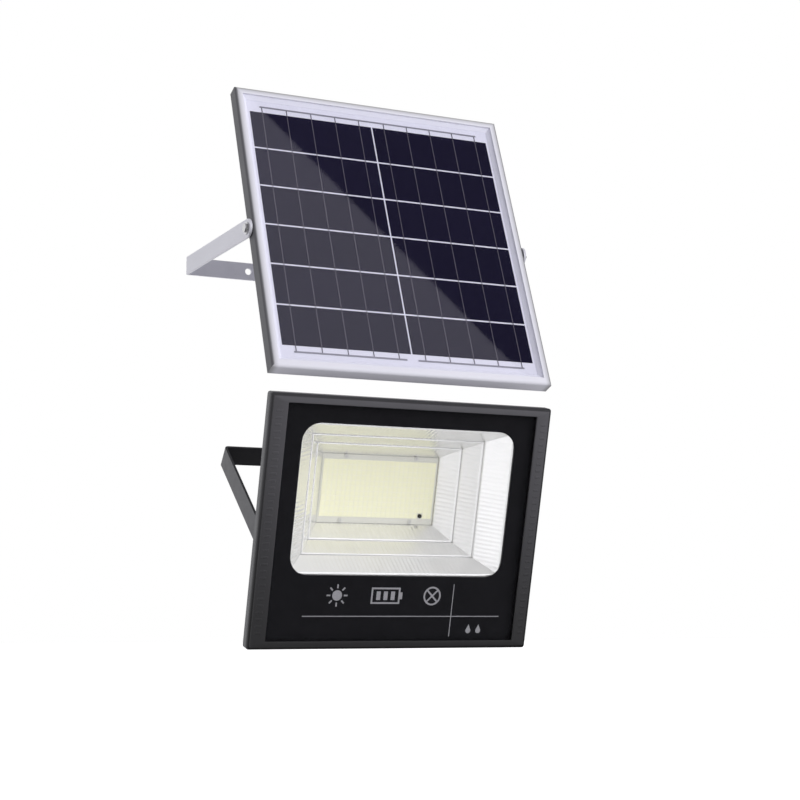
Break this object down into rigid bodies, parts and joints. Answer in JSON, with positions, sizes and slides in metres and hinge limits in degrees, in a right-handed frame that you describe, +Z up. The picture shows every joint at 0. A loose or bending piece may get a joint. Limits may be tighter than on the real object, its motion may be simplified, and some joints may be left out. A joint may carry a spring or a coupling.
{
  "type": "solar flood light",
  "caption": "Framed solar panel on a tilting U-bracket above a bezelled flood lamp with a stepped reflector, LED array and battery on its own tilting U-bracket.",
  "frame": {"origin": "middle of the panel bracket's base, on its back face, midway between the two wall bolt holes", "axes": "+X to the object's right as seen from the front, +Y into the wall, +Z up"},
  "size_m": [0.365, 0.3035, 0.6604],
  "materials": {
    "frame_aluminium": "satin anodised, off-white silver",
    "cast_aluminium": "as cast",
    "solar_glass": "clear tempered, slightly rippled",
    "clear_encapsulant": "clear",
    "silicon_cell": "dark navy, anti-reflection coated",
    "tinned_copper": "dull tinned",
    "cell_ribbon": "dull, darkened tin",
    "white_screw": "white painted heads",
    "white_back_sheet": "matt white",
    "black_plastic": "fine moulded grain",
    "zinc_steel": "zinc plated",
    "terminal_plastic": "moulded",
    "black_paint": "satin powder coat",
    "bezel_paint": "satin powder coat",
    "cover_glass": "clear tempered",
    "black_print": "gloss black behind glass",
    "grey_print": "grey ink",
    "silicone_rubber": "matt",
    "thermal_rubber": "matt",
    "reflector_aluminium": "bright dimpled",
    "white_board": "white solder mask",
    "led_phosphor": "pale yellow silicone",
    "dark_lens": "gloss",
    "battery_sleeve": "shrink sleeve",
    "grey_plastic": "moulded",
    "green_board": "green solder mask",
    "component_black": "moulded",
    "bracket_silver": "satin zinc, light grey",
    "bracket_black": "satin powder coat",
    "stainless_steel": "satin"
  },
  "bodies": {
    "mounting_brackets": {"panel_bracket": "bracket_silver", "lamp_bracket": "bracket_black"},
    "solar_panel": {"panel_frame_left": "frame_aluminium", "panel_frame_right": "frame_aluminium", "panel_frame_top": "frame_aluminium", "panel_frame_bottom": "frame_aluminium", "frame_corner_keys": "cast_aluminium", "panel_glass": "solar_glass", "encapsulant": "clear_encapsulant", "solar_cells": "silicon_cell", "tabbing_ribbons": "cell_ribbon", "bus_ribbons": "tinned_copper", "back_sheet": "white_back_sheet", "junction_box": "black_plastic", "junction_box_lid": "black_plastic", "junction_box_screws": "zinc_steel", "terminal_block": "terminal_plastic", "blocking_diode": "component_black", "panel_cable_gland": "black_plastic", "panel_pivot_bolts": "stainless_steel", "panel_pivot_washers": "stainless_steel", "panel_nut_plates": "zinc_steel"},
    "flood_lamp": {"rear_housing": "black_paint", "front_bezel": "bezel_paint", "bezel_screws": "stainless_steel", "cover_glass": "cover_glass", "glass_mask": "black_print", "glass_markings": "grey_print", "glass_gasket": "silicone_rubber", "reflector": "reflector_aluminium", "thermal_pad": "thermal_rubber", "led_board": "white_board", "led_chips": "led_phosphor", "led_board_screws": "white_screw", "ir_receiver": "dark_lens", "battery_cells": "battery_sleeve", "battery_holder": "grey_plastic", "battery_straps": "black_plastic", "controller_board": "green_board", "controller_screws": "zinc_steel", "controller_components": "component_black", "lamp_cable_gland": "black_plastic", "breather_vent": "black_plastic", "lamp_pivot_bolts": "stainless_steel", "lamp_pivot_washers": "stainless_steel"}
  },
  "joints": [
    {"name": "panel_tilt", "type": "hinge", "parent": "mounting_brackets", "child": "solar_panel", "pos_m": [0, -0.227, 0], "axis": [1, 0, 0], "range_deg": [-69, 6]},
    {"name": "lamp_tilt", "type": "hinge", "parent": "mounting_brackets", "child": "flood_lamp", "pos_m": [0, -0.215, -0.362], "axis": [1, 0, 0], "range_deg": [-45, 75]}
  ]
}
